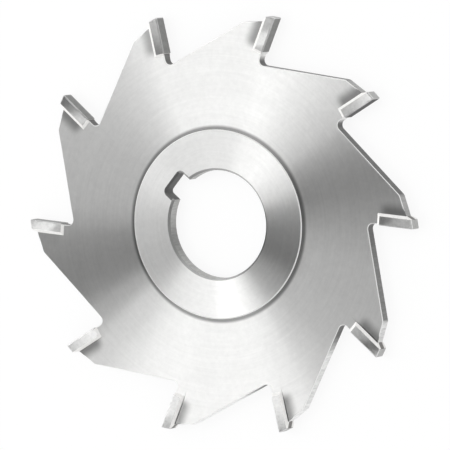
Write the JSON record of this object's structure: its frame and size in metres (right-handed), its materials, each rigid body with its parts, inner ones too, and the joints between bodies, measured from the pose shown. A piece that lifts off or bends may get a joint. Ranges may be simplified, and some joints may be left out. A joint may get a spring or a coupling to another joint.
{
  "type": "slitting_saw",
  "caption": "Thin milling saw disc with a raised hub, a keyed arbor bore and brazed carbide tips standing proud of both faces, one at the root of each deep, straight-backed gullet",
  "frame": {"origin": "on the bore axis, in the plane of the lower hub face, which is the lowest face of the saw lying flat", "axes": "+Z is the bore axis, up from the resting face; +Y passes through the cutting edge of tip 01; +X completes a right-handed frame"},
  "size_m": [0.0974, 0.1016, 0.0037],
  "materials": {
    "ground_steel": "face-ground steel, bright satin with fine circular grinding lines",
    "carbide": "diamond-ground cemented carbide, satin grey",
    "silver_braze": "dressed silver brazing alloy, bright"
  },
  "bodies": {
    "root": {"saw_body": "ground_steel", "carbide_tip_01": "carbide", "carbide_tip_02": "carbide", "carbide_tip_03": "carbide", "carbide_tip_04": "carbide", "carbide_tip_05": "carbide", "carbide_tip_06": "carbide", "carbide_tip_07": "carbide", "carbide_tip_08": "carbide", "carbide_tip_09": "carbide", "carbide_tip_10": "carbide", "braze_joint_01": "silver_braze", "braze_joint_02": "silver_braze", "braze_joint_03": "silver_braze", "braze_joint_04": "silver_braze", "braze_joint_05": "silver_braze", "braze_joint_06": "silver_braze", "braze_joint_07": "silver_braze", "braze_joint_08": "silver_braze", "braze_joint_09": "silver_braze", "braze_joint_10": "silver_braze"}
  },
  "joints": []
}
